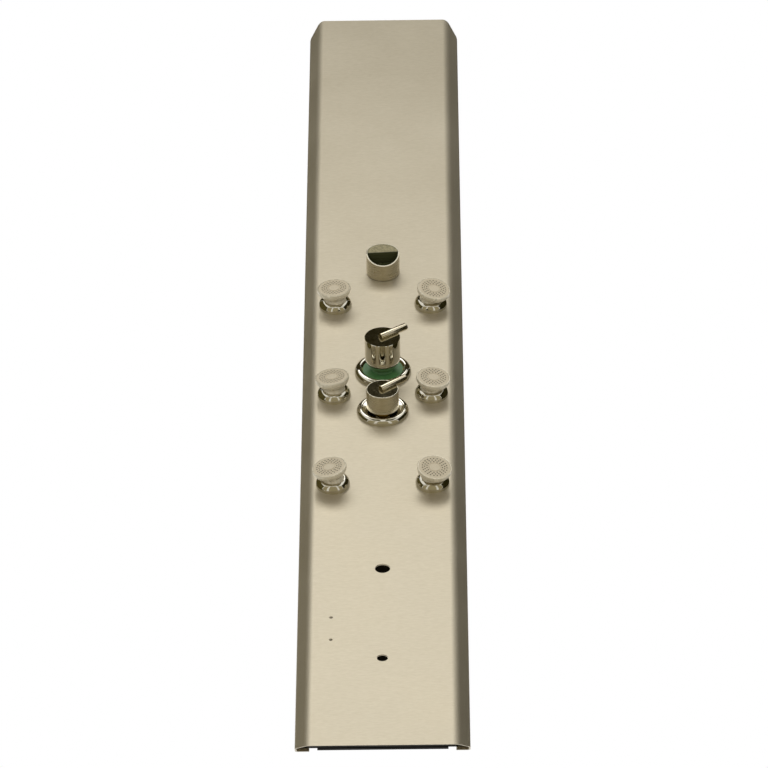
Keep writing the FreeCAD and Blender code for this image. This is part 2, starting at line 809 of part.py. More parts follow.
def mixer_turn_sleeve():
    body = turned("mixer_turn_sleeve", [
        ("0", "-sleeve_depth"),
        ("sleeve_radius", "-sleeve_depth"),
        ("sleeve_radius", "sleeve_rise - sleeve_edge"),
        ("sleeve_radius - sleeve_edge", "sleeve_rise"),
        ("0", "sleeve_rise"),
    ])
    tilt = "mixer_tilt_travel * 1 deg"
    half = f"(spindle_width / 2 / cos({tilt}) + pivot_rise * tan({tilt}) + clear_gap)"
    wide = "(spindle_width / 2 + clear_gap)"
    slot = sketch_on(body, "XY_Plane", "sleeve_rise")
    outline(slot, [(f"-{half}", f"-{wide}"), (half, f"-{wide}"), (half, wide), (f"-{half}", wide)])
    pocket(body, slot, length="sleeve_rise + slot_depth")
    pin = sketch_on(body, "XZ_Plane")
    ring(pin, "0", "pivot_rise", "pivot_pin_radius")
    pad = body.newObject("PartDesign::Pad", "Pin")
    pad.Profile = pin
    pad.SideType = "Symmetric"
    pad.setExpression("Length", bound("spindle_width + 2 * clear_gap + 2 * sleeve_edge"))
    doc.recompute()
    on_panel(body, "mixer_z", "mixer_lever_angle")


def mixer_spindle():
    body = new_body("mixer_spindle")
    section = sketch_on(body, "XY_Plane")
    side = "spindle_width / 2"
    outline(section, [(f"-{side}", f"-{side}"), (side, f"-{side}"), (side, side), (f"-{side}", side)])
    pad = body.newObject("PartDesign::Pad", "Pad")
    pad.Profile = section
    pad.setExpression("Length", bound("spindle_rise"))
    doc.recompute()
    bore = sketch_on(body, "XZ_Plane")
    ring(bore, "0", "pivot_rise", "pivot_pin_radius + running_gap")
    pocket(body, bore, "Symmetric")
    node("mixer_spindle", body)
    on_panel(body, "mixer_z", "mixer_lever_angle")


def square_hole(body, width, top):
    hole = sketch_on(body, "XY_Plane")
    half = f"({width} / 2 + running_gap)"
    outline(hole, [(f"-{half}", f"-{half}"), (half, f"-{half}"), (half, half), (f"-{half}", half)])
    pocket(body, hole, onward=True, length=top)


def grub_hole(body, height):
    hole = sketch_on(body, "XZ_Plane")
    ring(hole, "0", height, "grub_radius + running_gap")
    pocket(body, hole)


def lever_groove(body, front_height):
    groove = sketch_on(body, "YZ_Plane", "-lever_overlap - fitting_gap")
    ring(groove, "0", f"{front_height} - disc_sink + lever_rise", "lever_radius + fitting_gap")
    pocket(body, groove, onward=True)


def disc_and_lever(prefix, z, knob_radius, front_height, lean):
    """The polished disc let into the knob's front, and the lever let into both."""
    disc_radius = f"{knob_radius} - rim_width - fitting_gap"
    floor = f"{front_height} - disc_sink - disc_thickness"
    disc = turned(f"{prefix}_handle_disc", [
        ("0", floor),
        (disc_radius, floor),
        (disc_radius, f"{front_height} - disc_sink"),
        ("0", f"{front_height} - disc_sink"),
    ])
    lever_groove(disc, front_height)
    on_panel(disc, z, lean)
    lever = turned(f"{prefix}_lever", [
        ("0", "0"),
        ("lever_radius - lever_chamfer", "0"),
        ("lever_radius", "lever_chamfer"),
        ("lever_radius", "lever_length - lever_chamfer"),
        ("lever_radius - lever_chamfer", "lever_length"),
        ("0", "lever_length"),
    ])
    angle = f"{lean} * 1 deg"
    heading = facing * FreeCAD.Rotation(across_z, value(lean)) * FreeCAD.Rotation(across_y, 90)
    place(lever, f"-lever_overlap * cos({angle})", proud(f"{front_height} - disc_sink + lever_rise"),
          f"{z} - lever_overlap * sin({angle})", heading)


def grub_screw(prefix, z, half_square, height, lean):
    """A grub screw on the knob's upper side, against the flat of the square."""
    screw = turned(f"{prefix}_grub_screw", [
        ("0", "0"),
        ("grub_radius", "0"),
        ("grub_radius", "grub_length"),
        ("grub_radius / 2", "grub_length"),
        ("grub_radius / 2", "grub_length / 2"),
        ("0", "grub_length / 2"),
    ])
    angle = f"{lean} * 1 deg"
    heading = facing * FreeCAD.Rotation(across_z, value(lean)) * FreeCAD.Rotation(across_x, -90)
    place(screw, f"-({half_square}) * sin({angle})", proud(height), f"{z} + ({half_square}) * cos({angle})",
          heading)


def mixer_handle():
    floor = "mixer_knob_front - disc_sink - disc_thickness"
    inside = "mixer_knob_radius - knob_wall"
    barrel = turned("mixer_handle_barrel", [
        ("0", floor),
        ("mixer_knob_radius - rim_width", floor),
        ("mixer_knob_radius - rim_width", "mixer_knob_front"),
        ("mixer_knob_radius - rim_chamfer", "mixer_knob_front"),
        ("mixer_knob_radius", "mixer_knob_front - rim_chamfer"),
        ("mixer_knob_radius", "mixer_knob_shoulder"),
        ("mixer_knob_foot_radius", "mixer_knob_foot"),
        ("mixer_knob_foot_radius - knob_wall", "mixer_knob_foot"),
        (inside, "mixer_knob_shoulder"),
        (inside, "mixer_knob_web"),
        ("mixer_hub_radius", "mixer_knob_web"),
        ("mixer_hub_radius", "mixer_hub_foot"),
        ("0", "mixer_hub_foot"),
    ], {5: ("mixer_knob_round", "right"), 7: ("mixer_knob_round", "left")})
    square_hole(barrel, "spindle_width", "spindle_rise + clear_gap")
    grub_hole(barrel, "mixer_grub_rise")
    lever_groove(barrel, "mixer_knob_front")
    on_panel(barrel, "mixer_z", "mixer_lever_angle")
    disc_and_lever("mixer", "mixer_z", "mixer_knob_radius", "mixer_knob_front", "mixer_lever_angle")
    grub_screw("mixer", "mixer_z", "spindle_width / 2", "mixer_grub_rise", "mixer_lever_angle")


# --- diverter and top valve trim ---


def stem(label, z, square_rise, rise, lean):
    """A turning plug with a round stem that ends in a square."""
    body = turned(label, [
        ("0", "-valve_bore_depth + clear_gap"),
        ("valve_bore - running_gap", "-valve_bore_depth + clear_gap"),
        ("valve_bore - running_gap", "-gland_depth - clear_gap"),
        ("stem_radius", "-gland_depth - clear_gap"),
        ("stem_radius", rise),
        ("0", rise),
    ])
    flats = sketch_on(body, "XY_Plane", square_rise)
    half = "stem_square / 2"
    ring(flats, "0", "0", "stem_radius + overrun")
    outline(flats, [(f"-{half}", f"-{half}"), (half, f"-{half}"), (half, half), (f"-{half}", half)])
    pocket(body, flats, onward=True)
    on_panel(body, z, lean)


def gland_nut(label, z, neck_rise, head_height):
    bore = "stem_radius + running_gap"
    nut = turned(label, [
        (bore, "-gland_depth"),
        ("valve_bore - running_gap", "-gland_depth"),
        ("valve_bore - running_gap", neck_rise),
        ("gland_head_radius", neck_rise),
        ("gland_head_radius", f"{neck_rise} + {head_height}"),
        (bore, f"{neck_rise} + {head_height}"),
    ])
    on_panel(nut, z)


def diverter_handle():
    floor = "diverter_knob_front - disc_sink - disc_thickness"
    inside = "diverter_knob_radius - knob_wall"
    barrel = turned("diverter_handle_barrel", [
        ("0", floor),
        ("diverter_knob_radius - rim_width", floor),
        ("diverter_knob_radius - rim_width", "diverter_knob_front"),
        ("diverter_knob_radius - rim_chamfer", "diverter_knob_front"),
        ("diverter_knob_radius", "diverter_knob_front - rim_chamfer"),
        ("diverter_knob_radius", "diverter_knob_foot"),
        (inside, "diverter_knob_foot"),
        (inside, "diverter_knob_web"),
        ("diverter_hub_radius", "diverter_knob_web"),
        ("diverter_hub_radius", "diverter_hub_foot"),
        ("0", "diverter_hub_foot"),
    ])
    square_hole(barrel, "stem_square", "diverter_stem_rise + clear_gap")
    grub_hole(barrel, "diverter_grub_rise")
    lever_groove(barrel, "diverter_knob_front")
    on_panel(barrel, "diverter_z", "diverter_lever_angle")
    disc_and_lever("diverter", "diverter_z", "diverter_knob_radius", "diverter_knob_front",
                   "diverter_lever_angle")
    grub_screw("diverter", "diverter_z", "stem_square / 2", "diverter_grub_rise", "diverter_lever_angle")


def half_moon(sketch, radius, chord, sign):
    """A circle's segment beyond a chord that runs along X."""
    reach = f"sqrt(({radius}) ^ 2 - ({chord}) ^ 2)"
    corners = [
        (f"-{sign}{reach}", f"{sign}({chord})"),
        ("0", f"{sign}({radius})"),
        (f"{sign}{reach}", f"{sign}({chord})"),
    ]
    outline(sketch, corners, {0: (radius, "right"), 1: (radius, "right")})


def top_knob():
    inside = "top_knob_radius - top_knob_wall"
    seat = "top_knob_front - top_plate_thickness"
    knob = turned("top_knob_barrel", [
        ("0", "top_knob_front"),
        ("top_knob_radius - rim_chamfer", "top_knob_front"),
        ("top_knob_radius", "top_knob_front - rim_chamfer"),
        ("top_knob_radius", "top_knob_foot"),
        (inside, "top_knob_foot"),
        (inside, "top_knob_back"),
        ("top_hub_radius", "top_knob_back"),
        ("top_hub_radius", "top_hub_foot"),
        ("0", "top_hub_foot"),
    ])
    cavity = sketch_on(knob, "XY_Plane", "top_knob_front")
    half_moon(cavity, inside, "0", "-")
    pocket(knob, cavity, length="top_knob_front - top_knob_floor")
    recess = sketch_on(knob, "XY_Plane", "top_knob_front")
    half_moon(recess, f"{inside} + fitting_gap", "top_chord_lip", "+")
    pocket(knob, recess, length="top_plate_thickness")
    scoop = sketch_on(knob, "YZ_Plane")
    outline(scoop, [
        ("0", "top_knob_front"),
        ("-top_knob_radius - overrun", "top_knob_front - top_scoop_drop"),
        ("-top_knob_radius - overrun", "top_knob_front + overrun"),
        ("0", "top_knob_front + overrun"),
    ])
    pocket(knob, scoop, "Symmetric")
    square_hole(knob, "stem_square", "top_stem_rise")
    grub_hole(knob, "top_grub_rise")
    on_panel(knob, "top_valve_z", "top_chord_tilt")
    plate = new_body("top_knob_plate")
    section = sketch_on(plate, "XY_Plane", seat)
    half_moon(section, inside, "top_chord_lip + fitting_gap", "+")
    pad = plate.newObject("PartDesign::Pad", "Pad")
    pad.Profile = section
    pad.setExpression("Length", bound("top_plate_thickness"))
    doc.recompute()
    node("top_knob_plate", plate)
    on_panel(plate, "top_valve_z", "top_chord_tilt")
    grub_screw("top_knob", "top_valve_z", "stem_square / 2", "top_grub_rise", "top_chord_tilt")


# --- body jets ---

jet_places = [
    (f"{row}_{side}", f"{sign}{jet_x}", f"jet_{row}_z")
    for row in ("upper", "middle", "lower")
    for side, sign in (("left", "-"), ("right", "+"))
]
socket_radius = "(ball_radius + swivel_gap)"
pocket_radius = "(ball_radius + seat_ring_wall + 2 * swivel_gap)"


def on_sphere(radius, height):
    """Radius of a sphere's circle at a height over its centre."""
    return f"sqrt({radius} ^ 2 - ({height}) ^ 2)"


def at_ball(body, x, z, rotation):
    return place(body, x, proud("ball_height"), z, facing * rotation)


def jet_housings():
    """Chrome flange, ball socket and threaded barrel in one turned piece, six of them."""
    housings = []
    for name, x, z in jet_places:
        body = turned(f"jet_{name}_housing", [
            ("nipple_bore", "nipple_end"),
            ("nipple_radius", "nipple_end"),
            ("nipple_radius", "jet_barrel_floor"),
            ("jet_tail_radius", "jet_barrel_floor"),
            ("jet_barrel_radius", "jet_barrel_end"),
            ("jet_barrel_radius", "-ball_height"),
            ("jet_flange_radius", "-ball_height"),
            ("jet_flange_radius", "-ball_height + jet_flange_edge"),
            ("jet_flange_crown", "socket_opening"),
            (on_sphere(socket_radius, "socket_opening"), "socket_opening"),
            (on_sphere(socket_radius, "socket_step"), "socket_step"),
            (on_sphere(pocket_radius, "socket_step"), "socket_step"),
            ("nipple_bore", f"-{on_sphere(pocket_radius, 'nipple_bore')}"),
        ], {7: ("jet_flange_round", "left"), 9: (socket_radius, "right"), 11: (pocket_radius, "right")})
        nodes.remove(body)
        housings.append(at_ball(body, x, z, FreeCAD.Rotation()))
    group("jet_housings", housings)


def round_ball(radius, degrees):
    """Point on a circle about the ball's centre, at an angle from its back."""
    return f"{radius} * sin({degrees} * 1 deg)", f"-{radius} * cos({degrees} * 1 deg)"


def jet_head(name, x, z):
    """The ball, neck and bell with the spray chamber, its seat ring and its nozzle face."""
    tilt = FreeCAD.Rotation(across_x, value(f"{name}_tilt"))
    attitude = tilt * FreeCAD.Rotation(across_y, value(f"{name}_pan"))
    bearing = "(ball_radius + seat_ring_wall + swivel_gap)"
    seat = turned(f"jet_{name}_seat_ring", [
        round_ball(socket_radius, "seat_ring_low"),
        round_ball(bearing, "seat_ring_low"),
        round_ball(bearing, "seat_ring_high"),
        round_ball(socket_radius, "seat_ring_high"),
    ], {1: (bearing, "left"), 3: (socket_radius, "right")})
    at_ball(seat, x, z, tilt)
    head = turned(f"jet_{name}_head", [
        ("nipple_bore", f"-{on_sphere('ball_radius', 'nipple_bore')}"),
        ("jet_neck_radius", on_sphere("ball_radius", "jet_neck_radius")),
        ("jet_neck_radius", "bell_foot"),
        ("bell_foot_radius", "bell_foot"),
        ("bell_radius", "bell_shoulder"),
        ("bell_radius", "bell_front - bell_chamfer"),
        ("bell_radius - bell_chamfer", "bell_front"),
        ("nozzle_radius + fitting_gap", "bell_front"),
        ("nozzle_radius + fitting_gap", "nozzle_seat"),
        ("chamber_radius", "nozzle_seat"),
        ("chamber_radius", "nozzle_seat - chamber_wall"),
        ("nipple_bore", "chamber_foot"),
    ], {0: ("ball_radius", "left"), 3: ("bell_round", "left")})
    at_ball(head, x, z, attitude)
    face = turned(f"jet_{name}_nozzle_face", [
        ("0", "nozzle_seat"),
        ("nozzle_radius", "nozzle_seat"),
        ("nozzle_radius", "nozzle_rise"),
        ("0", "nozzle_rise"),
    ])
    for circle in ("inner", "middle", "outer"):
        hole = sketch_on(face, "XY_Plane")
        ring(hole, f"{circle}_spray_circle", "0", "spray_hole_radius")
        cut = pocket(face, hole, onward=True)
        pattern = face.newObject("PartDesign::PolarPattern", "PolarPattern")
        pattern.Originals = [cut]
        pattern.Axis = (hole, ["N_Axis"])
        pattern.Angle = 360
        pattern.setExpression("Occurrences", bound(f"{circle}_spray_count"))
        face.Tip = pattern
        doc.recompute()
    at_ball(face, x, z, attitude)


def jet_back_nuts():
    nuts = []
    back = proud("-sheet_gauge - jet_gasket_thickness")
    corner = "jet_nut_apothem / cos(30 deg)"
    for name, x, z in jet_places:
        blank = hexagon(corner, "jet_nut_height", x, back, z, "+Y")
        blank.Placement.Rotation = ways["+Y"] * FreeCAD.Rotation(across_z, 30)
        nuts.append(less(blank, [rod("jet_barrel_radius + running_gap", "jet_nut_height", x, back, z, "+Y")]))
    group("jet_back_nuts", nuts)


# --- pipes ---


def jet_manifold(label, side):
    """An upright tube with a branch for each jet and one for the feed."""
    x = f"{side}{jet_x}"
    y = proud("-feed_line_depth")
    bottom = "jet_lower_z - manifold_overrun"
    length = "(jet_upper_z - jet_lower_z + 2 * manifold_overrun)"
    wall = "(manifold_radius - manifold_bore)"
    pieces = [rod("manifold_radius", length, x, y, bottom, "+Z")]
    tools = [rod("manifold_bore", f"{length} - 2 * {wall}", x, y, f"{bottom} + {wall}", "+Z")]
    for height in ("jet_upper_z", "jet_middle_z", "jet_lower_z"):
        pieces.append(rod("branch_radius", "feed_line_depth - branch_depth", x, y, height, "-Y"))
        tools.append(rod("nipple_radius + fitting_gap", "branch_socket_depth + overrun", x,
                         proud("-branch_depth - branch_socket_depth"), height, "-Y"))
        tools.append(rod("nipple_bore", "feed_line_depth - branch_depth", x, y, height, "-Y"))
    inward = ("+" if side == "-" else "-") + "X"
    sign = inward[0]
    pieces.append(rod("port_radius", "feed_socket_reach", x, y, "diverter_z", inward))
    tools.append(rod("pipe_radius + running_gap", "pipe_socket_depth + overrun",
                     f"{x} {sign} (feed_socket_reach - pipe_socket_depth)", y, "diverter_z", inward))
    tools.append(rod("port_bore", "feed_socket_reach", x, y, "diverter_z", inward))
    node(label, less(joined(pieces), tools))


def pipes():
    y = proud("-vertical_line_depth")
    seated = "pipe_socket_depth - clear_gap"
    low = f"diverter_z + diverter_port_reach - ({seated})"
    high = f"mixer_z - mixer_port_reach + ({seated})"
    node("mixer_outlet_pipe", tube("pipe_radius", "pipe_bore", f"({high}) - ({low})", "0", y, low, "+Z"))
    low = f"mixer_z + mixer_port_reach - ({seated})"
    high = f"top_valve_z - top_valve_port_reach + ({seated})"
    node("top_supply_pipe", tube("pipe_radius", "pipe_bore", f"({high}) - ({low})", "0", y, low, "+Z"))
    feeds = []
    for side in "+-":
        start = f"(diverter_port_reach - ({seated}))"
        stop = f"({jet_x} - feed_socket_reach + ({seated}))"
        feeds.append(tube("pipe_radius", "pipe_bore", f"{stop} - {start}", f"{side}{start}",
                          proud("-feed_line_depth"), "diverter_z", side + "X"))
    group("jet_feed_pipes", feeds)


front_panel()
for level, end in (("upper", "+"), ("lower", "-")):
    back_rail(f"back_rail_{level}", end)
    wall_bracket(f"wall_bracket_{level}", end)
rail_rivets()
standoff_screws()
mixer_body()
inlet_unions()
diverter_body()
top_valve_body()
valve_ring_nuts()
panel_gaskets()
mixer_cartridge()
rosette("mixer_escutcheon", "mixer_z", "mixer_rosette_radius", "mixer_rosette_height", "mixer_rosette_crest",
        "mixer_dish_radius", "mixer_neck_radius")
mixer_seal_ring()
mixer_turn_sleeve()
mixer_spindle()
mixer_handle()
rosette("diverter_escutcheon", "diverter_z", "diverter_rosette_radius", "diverter_rosette_height",
        "diverter_rosette_crest", "diverter_dish_radius", "valve_neck_radius")
stem("diverter_spindle", "diverter_z", "diverter_stem_square_rise", "diverter_stem_rise",
     "diverter_lever_angle")
gland_nut("diverter_gland_nut", "diverter_z", "valve_neck_rise", "gland_head_height")
diverter_handle()
stem("top_valve_spindle", "top_valve_z", "top_stem_square_rise", "top_stem_rise", "top_chord_tilt")
gland_nut("top_gland_nut", "top_valve_z", "top_neck_rise", "top_gland_head_height")
top_knob()
jet_housings()
for jet in jet_places:
    jet_head(*jet)
jet_back_nuts()
jet_manifold("left_jet_manifold", "-")
jet_manifold("right_jet_manifold", "+")
pipes()

doc.recompute()
for item in doc.Objects:
    if "Invalid" in item.State or "Error" in item.State:
        raise RuntimeError(f"{item.Label} did not recompute")
for piece in nodes:
    if piece.Shape.isNull() or not piece.Shape.isValid():
        raise RuntimeError(f"{piece.Label} has no valid shape")

os.makedirs("parts", exist_ok=True)
for piece in nodes:
    piece.Shape.exportStep(f"parts/{piece.Label}.step")
    print(piece.Label, len(piece.Shape.Solids), round(piece.Shape.Volume / 1000, 2))
print(len(nodes), "nodes")
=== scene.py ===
import json
import math

import bmesh
import bpy
from mathutils import Matrix, Quaternion, Vector


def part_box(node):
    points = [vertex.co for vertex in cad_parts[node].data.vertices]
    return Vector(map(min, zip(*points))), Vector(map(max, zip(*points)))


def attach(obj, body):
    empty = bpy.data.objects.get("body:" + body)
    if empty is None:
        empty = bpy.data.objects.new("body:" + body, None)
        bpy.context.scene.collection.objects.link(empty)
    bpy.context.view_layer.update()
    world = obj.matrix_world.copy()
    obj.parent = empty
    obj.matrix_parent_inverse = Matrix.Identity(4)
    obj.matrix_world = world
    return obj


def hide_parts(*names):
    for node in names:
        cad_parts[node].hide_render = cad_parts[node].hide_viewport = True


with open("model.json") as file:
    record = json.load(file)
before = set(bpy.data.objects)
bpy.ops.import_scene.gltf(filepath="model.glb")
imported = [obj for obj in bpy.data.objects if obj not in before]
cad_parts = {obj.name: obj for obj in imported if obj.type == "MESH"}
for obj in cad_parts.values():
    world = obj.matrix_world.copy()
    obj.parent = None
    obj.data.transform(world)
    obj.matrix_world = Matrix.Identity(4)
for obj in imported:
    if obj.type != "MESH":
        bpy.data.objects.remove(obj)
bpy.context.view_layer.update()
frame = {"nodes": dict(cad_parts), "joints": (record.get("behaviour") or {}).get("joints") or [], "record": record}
print("frame loaded")

mm = 0.001
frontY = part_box("front_panel")[0].y
joints = {joint["name"]: joint for joint in frame["joints"]}

noiseMiddle = (0.3, 0.7)  # nearly all values of a noise texture lie between these
fineDetail = 4  # octaves of the small patterns


def linear(hexColour):  # sRGB hex to linear RGBA
    channels = [int(hexColour[i:i + 2], 16) / 255 for i in (1, 3, 5)]
    return [c / 12.92 if c <= 0.04045 else ((c + 0.055) / 1.055) ** 2.4 for c in channels] + [1]


def perMetre(sizeMm):  # how often a pattern of this size repeats
    return 1000 / sizeMm


def addNode(tree, kind, settings=None, links=None):
    node = tree.nodes.new(kind)
    for key, value in (settings or {}).items():
        if isinstance(key, str) and hasattr(node, key):
            setattr(node, key, value)
        else:
            node.inputs[key].default_value = value
    for key, source in (links or {}).items():
        tree.links.new(source, node.inputs[key])
    return node


def newMaterial(name, shader):
    material = bpy.data.materials.new(name)
    material.use_nodes = True
    tree = material.node_tree
    tree.nodes.clear()
    surface = addNode(tree, "ShaderNodeBsdfPrincipled", shader)
    addNode(tree, "ShaderNodeOutputMaterial", links={"Surface": surface.outputs[0]})
    place = addNode(tree, "ShaderNodeTexCoord").outputs["Object"]
    return material, tree, surface, place


def weather(tree, surface, look, tone, gloss, height):
    # where its pattern is high, a surface is lighter, duller and raised
    blend = addNode(tree, "ShaderNodeMapRange",
                    {"From Min": noiseMiddle[0], "From Max": noiseMiddle[1]}, {"Value": tone})
    colour = addNode(tree, "ShaderNodeMix",
                     {"data_type": "RGBA", 6: linear(look["dark"]), 7: linear(look["light"])},
                     {0: blend.outputs[0]}).outputs[2]
    rough = addNode(tree, "ShaderNodeMapRange",
                    {"To Min": look["roughness"][0], "To Max": look["roughness"][1]},
                    {"Value": gloss})
    bump = addNode(tree, "ShaderNodeBump",
                   {"Strength": look["bump"], "Distance": look["depthMm"] * mm}, {"Height": height})
    tree.links.new(colour, surface.inputs["Base Color"])
    tree.links.new(rough.outputs[0], surface.inputs["Roughness"])
    tree.links.new(bump.outputs[0], surface.inputs["Normal"])
    return colour


def anodisedAluminium():
    # satin sheet, blasted and lightly brushed across: pale champagne, fine grain, slow clouding;
    # the real brush lines are about 0.1 mm wide and are drawn at 1.3 mm, so that they show
    look = {"lineMm": 1.3, "lineLength": 5, "lineDetail": 3, "cloudMm": 90, "cloudDetail": 2,
            "cloudShare": 0.4, "dark": "#c3b9a2", "light": "#cfc6b1", "metallic": 0.85,
            "roughness": (0.45, 0.53), "bump": 0.05, "depthMm": 0.2}
    material, tree, surface, place = newMaterial("champagne anodised aluminium",
                                                 {"Metallic": look["metallic"]})
    along = addNode(tree, "ShaderNodeMapping", {"Scale": (1 / look["lineLength"], 1, 1)},
                    {"Vector": place})
    lines = addNode(tree, "ShaderNodeTexNoise",
                    {"Scale": perMetre(look["lineMm"]), "Detail": look["lineDetail"]},
                    {"Vector": along.outputs[0]}).outputs["Fac"]
    cloud = addNode(tree, "ShaderNodeTexNoise",
                    {"Scale": perMetre(look["cloudMm"]), "Detail": look["cloudDetail"]},
                    {"Vector": place}).outputs["Fac"]
    both = addNode(tree, "ShaderNodeMix", {"Factor": look["cloudShare"]}, {2: lines, 3: cloud})
    weather(tree, surface, look, tone=both.outputs[0], gloss=cloud, height=lines)
    return material


def platedMetal(name, look):
    # bright plate on polished brass: a mirror with faint wipe marks in its gloss
    material, tree, surface, place = newMaterial(
        name, {"Metallic": 1, "Base Color": linear(look["colour"])})
    smudge = addNode(tree, "ShaderNodeTexNoise",
                     {"Scale": perMetre(look["smudgeMm"]), "Detail": fineDetail}, {"Vector": place})
    rough = addNode(tree, "ShaderNodeMapRange",
                    {"To Min": look["roughness"][0], "To Max": look["roughness"][1]},
                    {"Value": smudge.outputs["Fac"]})
    tree.links.new(rough.outputs[0], surface.inputs["Roughness"])
    return material


def turnedNickel(recessShade=None):
    # fine lathe rings round the knob's axis under thin nickel; the hollow of the knob is painted shade, dark and
    # without metal;
    # the real rings are about 0.1 mm apart and are drawn at 0.6 mm, so that they show
    look = {"ringMm": 0.6, "ringStretch": 50, "dark": "#cdc5ae", "light": "#dad3bf",
            "roughness": (0.22, 0.35), "bump": 0.015, "depthMm": 0.1}
    material, tree, surface, place = newMaterial("turned and brushed nickel plate", {"Metallic": 1})
    along = addNode(tree, "ShaderNodeMapping",
                    {"Scale": (1 / look["ringStretch"], 1, 1 / look["ringStretch"])},
                    {"Vector": place})
    rings = addNode(tree, "ShaderNodeTexNoise",
                    {"Scale": perMetre(look["ringMm"]), "Detail": fineDetail},
                    {"Vector": along.outputs[0]}).outputs["Fac"]
    colour = weather(tree, surface, look, tone=rings, gloss=rings, height=rings)
    # inside the hollow of the knob the colour is painted shade, and no metal reflects there
    if recessShade:
        fromAxis = addNode(tree, "ShaderNodeVectorMath",
                           {"operation": "SUBTRACT", 1: (0, 0, recessShade["axisZ"])}, {0: place})
        sideways = addNode(tree, "ShaderNodeVectorMath", {"operation": "MULTIPLY", 1: (1, 0, 1)},
                           {0: fromAxis.outputs[0]})
        reach = addNode(tree, "ShaderNodeVectorMath", {"operation": "LENGTH"},
                        {0: sideways.outputs[0]})
        inside = addNode(tree, "ShaderNodeMath", {"operation": "LESS_THAN", 1: recessShade["radius"]},
                         {0: reach.outputs["Value"]}).outputs[0]
        painted = addNode(tree, "ShaderNodeMix",
                          {"data_type": "RGBA", 7: linear(recessShade["colour"])},
                          {0: inside, 6: colour})
        bare = addNode(tree, "ShaderNodeMath", {"operation": "SUBTRACT", 0: 1}, {1: inside})
        tree.links.new(painted.outputs[2], surface.inputs["Base Color"])
        tree.links.new(bare.outputs[0], surface.inputs["Metallic"])
    return material


grainGloss = (0.85, 1.15)  # shares of the roughness where a grain is low and high
grainDepthMm = 0.1


def grained(name, look):
    # one fine grain sets tone, gloss and height, as on cast, drawn, moulded or coated surfaces
    look = dict(look, depthMm=grainDepthMm,
                roughness=[look["roughness"] * share for share in grainGloss])
    material, tree, surface, place = newMaterial(name, {"Metallic": look.get("metallic", 0)})
    grain = addNode(tree, "ShaderNodeTexNoise",
                    {"Scale": perMetre(look["grainMm"]), "Detail": fineDetail},
                    {"Vector": place}).outputs["Fac"]
    weather(tree, surface, look, tone=grain, gloss=grain, height=grain)
    return material


# real cast, moulded and coated grains are a few tenths of a millimetre, and are drawn at 0.8 to
# 2.6 mm, so that they show; tarnish and the blur of the satin plate are patches of 6 to 9 mm, the tarnish real and
# the blur on the jets' bells a painted reflection
grains = {
    "champagne_satin": ("satin nickel plate",  # a satin metal; its beige, mostly matt colour is a painted blurred reflection of the panel on the jets' bells
                        {"dark": "#d0c6ac", "light": "#d8cfb8", "roughness": 0.27, "grainMm": 6,
                         "metallic": 0.25, "bump": 0.004}),
    "beige_plastic": ("beige moulded ABS",  # pale, matt and slightly mottled
                      {"dark": "#beb195", "light": "#cbbfa4", "roughness": 0.5, "grainMm": 1.5,
                       "bump": 0.06}),
    "green_rubber": ("green moulded silicone rubber",  # saturated, with a dull shine
                     {"dark": "#3e6a39", "light": "#53824b", "roughness": 0.42, "grainMm": 2.5,
                      "bump": 0.1}),
    "black_rubber": ("black EPDM rubber",  # dull black sheet gaskets
                     {"dark": "#101010", "light": "#1c1c1c", "roughness": 0.7, "grainMm": 1,
                      "bump": 0.15}),
    "cast_brass": ("sand cast and machined brass",  # warm yellow with a fine cast skin
                   {"dark": "#a3823c", "light": "#c7a658", "roughness": 0.33, "grainMm": 1.2,
                    "metallic": 1, "bump": 0.25}),
    "copper_pipe": ("drawn copper tube",  # reddish with slow tarnish patches
                    {"dark": "#99583a", "light": "#c17d55", "roughness": 0.27, "grainMm": 9,
                     "metallic": 1, "bump": 0.05}),
    "zinc_steel": ("zinc plated steel",  # cool grey spangle
                   {"dark": "#a1a19b", "light": "#c0c0ba", "roughness": 0.34, "grainMm": 2.2,
                    "metallic": 1, "bump": 0.08}),
    "black_steel": ("black powder coated steel",  # fine orange peel
                    {"dark": "#0d0d0c", "light": "#191917", "roughness": 0.52, "grainMm": 0.8,
                     "bump": 0.25}),
    "white_acetal": ("white machined acetal",  # waxy white
                     {"dark": "#dcdcd5", "light": "#e8e8e3", "roughness": 0.38, "grainMm": 1.5,
                      "bump": 0.04}),
    "grey_plastic": ("grey moulded nylon",  # matt mid grey
                     {"dark": "#6c6f71", "light": "#7c7f81", "roughness": 0.46, "grainMm": 1.2,
                      "bump": 0.1}),
}
plates = {
    "polished_chrome": ("polished chrome plate",  # a warm bright mirror
                        {"colour": "#d3cebe", "roughness": (0.024, 0.072), "smudgeMm": 14}),
    "dark_chrome": ("black chrome plate",  # a smoky mirror
                    {"colour": "#9d957a", "roughness": (0.03, 0.09), "smudgeMm": 9}),
}
finishes = {"champagne_aluminium": anodisedAluminium(), "brushed_nickel": turnedNickel()}
finishes.update({slot: grained(*entry) for slot, entry in grains.items()})
finishes.update({slot: platedMetal(*entry) for slot, entry in plates.items()})
# bare satin nickel on the rods, glossier where hands polish it
leverNickel = grained("handled satin nickel plate",
                      {"dark": "#ccc1a6", "light": "#d6ccb4", "roughness": 0.2, "grainMm": 7,
                       "metallic": 1, "bump": 0.003})
# dull black nickel with a coarse mottled grain, on the half-moon plate
plateNickel = grained("etched black nickel plate",
                      {"dark": "#6f6849", "light": "#a39a76", "roughness": 0.5, "grainMm": 2.6,
                       "metallic": 0.35, "bump": 0.3})
# the bottom of a spray hole, painted dark as its shade
sprayBoreShade = grained("painted shade of a spray bore",
                    {"dark": "#2b271b", "light": "#383325", "roughness": 0.6, "grainMm": 1,
                     "bump": 0.05})
print("finishes made")


def dress(node, material):
    frame["nodes"][node].data.materials.clear()
    frame["nodes"][node].data.materials.append(material)


for entry in frame["record"]["subparts"]:
    dress(entry["node"], finishes[entry["material_slot"]])

